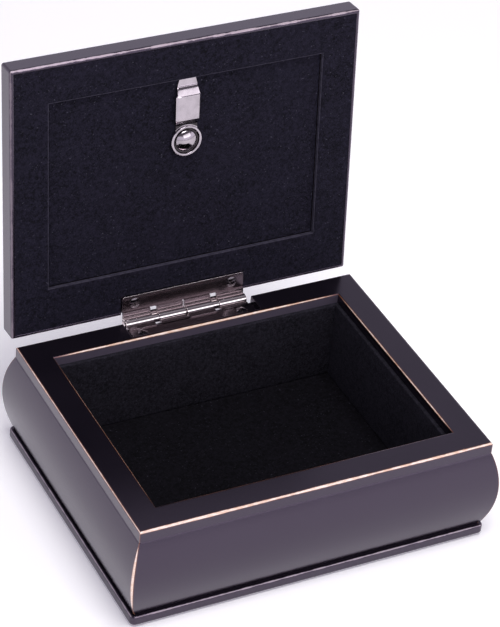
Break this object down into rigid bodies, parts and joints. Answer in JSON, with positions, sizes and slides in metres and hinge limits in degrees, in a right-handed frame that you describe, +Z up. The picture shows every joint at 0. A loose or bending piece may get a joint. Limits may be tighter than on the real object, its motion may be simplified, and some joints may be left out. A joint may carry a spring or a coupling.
{
  "type": "jewelry gift box",
  "caption": "Painted wood keepsake box with a velvet-lined well and a hinged photo-frame lid whose backing panel is held by a turning clip.",
  "frame": {"origin": "middle of the underside, on the felt, in plan the middle of the box and its plinth", "axes": "+Z up, +X to the right as the box faces the viewer, front towards -Y, hinge along X at the back"},
  "size_m": [0.2098, 0.1986, 0.2174],
  "materials": {
    "lacquered_wood": "satin black lacquer, rubbed through to brown on the edges",
    "velvet": "short black pile",
    "felt": "pressed black felt",
    "hinge_metal": "nickel plated, slightly dull",
    "pin_metal": "drawn wire",
    "screw_metal": "nickel plated",
    "clip_metal": "bright nickel plated",
    "clear_glass": "clear float glass",
    "card": "matt, blank",
    "board": "raw hardboard"
  },
  "bodies": {
    "base": {"base_felt": "felt", "plinth": "lacquered_wood", "wall_front": "lacquered_wood", "wall_back": "lacquered_wood", "wall_left": "lacquered_wood", "wall_right": "lacquered_wood", "lining_floor": "velvet", "lining_front": "velvet", "lining_back": "velvet", "lining_left": "velvet", "lining_right": "velvet", "hinge_base_leaf": "hinge_metal", "hinge_pin": "pin_metal", "hinge_collars": "pin_metal", "base_leaf_screws": "screw_metal"},
    "lid": {"lid_frame": "lacquered_wood", "lid_velvet": "velvet", "lid_glass": "clear_glass", "photo_card": "card", "backing_board": "board", "backing_velvet": "velvet", "hinge_lid_leaf": "hinge_metal", "lid_leaf_screws": "screw_metal", "clip_rivet": "clip_metal"},
    "clip": {"retaining_clip": "clip_metal"}
  },
  "joints": [
    {"name": "lid_hinge", "type": "hinge", "parent": "base", "child": "lid", "pos_m": [0, 0.08245, 0.0575], "axis": [1, 0, 0], "range_deg": [0, 95.66]},
    {"name": "clip_swivel", "type": "hinge", "parent": "lid", "child": "clip", "pos_m": [0, 0.09812, 0.15885], "axis": [0, -0.9951, 0.0986], "continuous": true}
  ]
}
